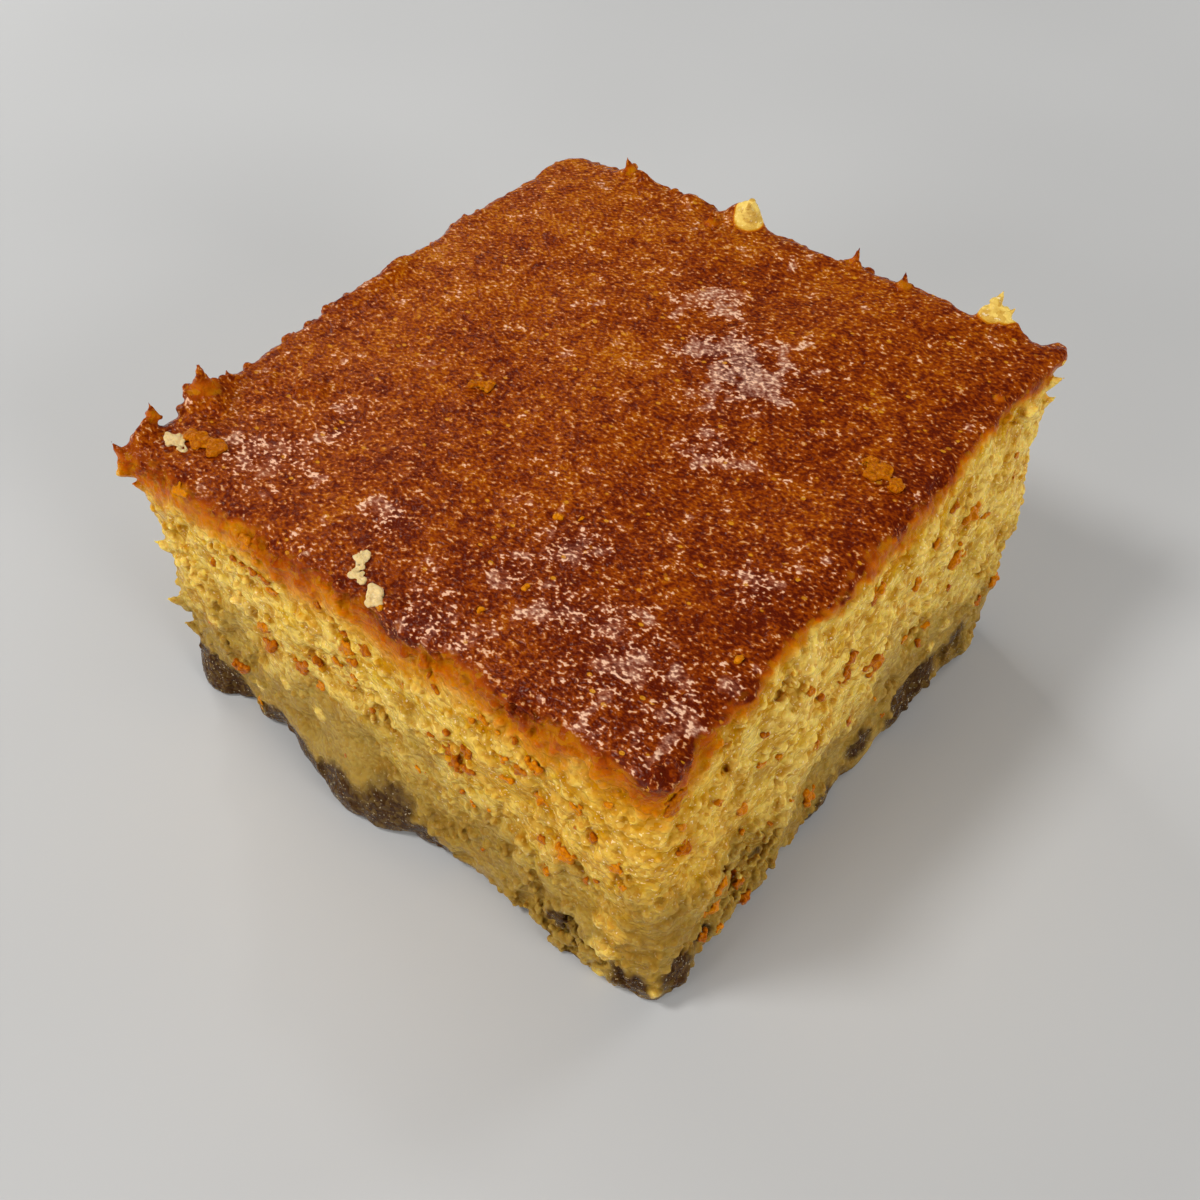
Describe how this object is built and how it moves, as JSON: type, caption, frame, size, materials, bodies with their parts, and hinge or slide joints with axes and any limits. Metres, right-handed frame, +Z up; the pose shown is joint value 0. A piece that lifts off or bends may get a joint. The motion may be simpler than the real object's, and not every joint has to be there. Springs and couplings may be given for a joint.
{
  "type": "semolina cake",
  "caption": "Square-cut piece of moist semolina cake: grainy pale yellow crumb on the cut sides, a browned crust on top, and a flat underside to stand on.",
  "frame": {"origin": "centre of the underside's box, on the surface that the cake stands on", "axes": "+Z up through the browned crust, -Y out of the front cut side, +X out of the right cut side"},
  "size_m": [0.0672, 0.0674, 0.0393],
  "materials": {
    "cake": "moist grainy crumb"
  },
  "bodies": {
    "root": {"semolina_cake": "cake"}
  },
  "joints": []
}
